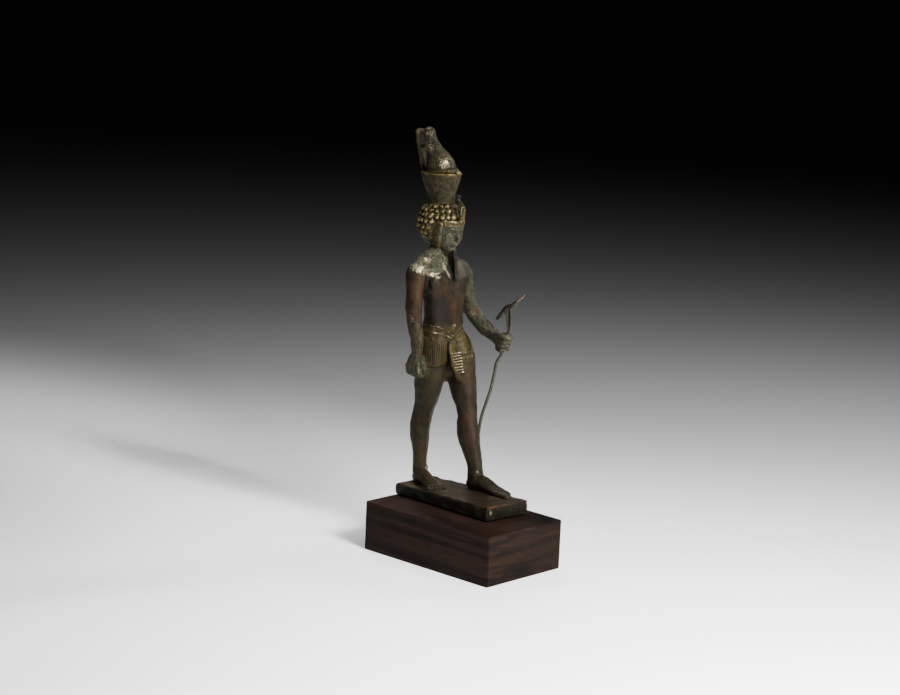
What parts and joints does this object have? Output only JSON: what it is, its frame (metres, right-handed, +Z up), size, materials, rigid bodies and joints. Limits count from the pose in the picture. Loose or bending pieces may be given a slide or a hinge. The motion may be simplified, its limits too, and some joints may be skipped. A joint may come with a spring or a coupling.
{
  "type": "pharaoh statuette",
  "caption": "Cast bronze statuette of a striding king with crown, curled wig and pleated kilt, a slim sceptre through the left fist, standing on a dark hardwood base.",
  "frame": {"origin": "centre of the hardwood base's underside", "axes": "+Z up, -Y the way the king faces, +X the king's left side"},
  "size_m": [0.0541, 0.085, 0.1929],
  "materials": {
    "patinated_bronze": "aged bronze with a dark brown and olive patina, pitted, with copper-red patches",
    "sceptre_bronze": "aged bronze wire and plate, dull brown with copper-red tips",
    "dark_hardwood": "dark stained hardwood, fine lengthwise grain, low sheen"
  },
  "bodies": {
    "root": {"figure": "patinated_bronze", "sceptre": "sceptre_bronze", "wooden_base": "dark_hardwood"}
  },
  "joints": []
}
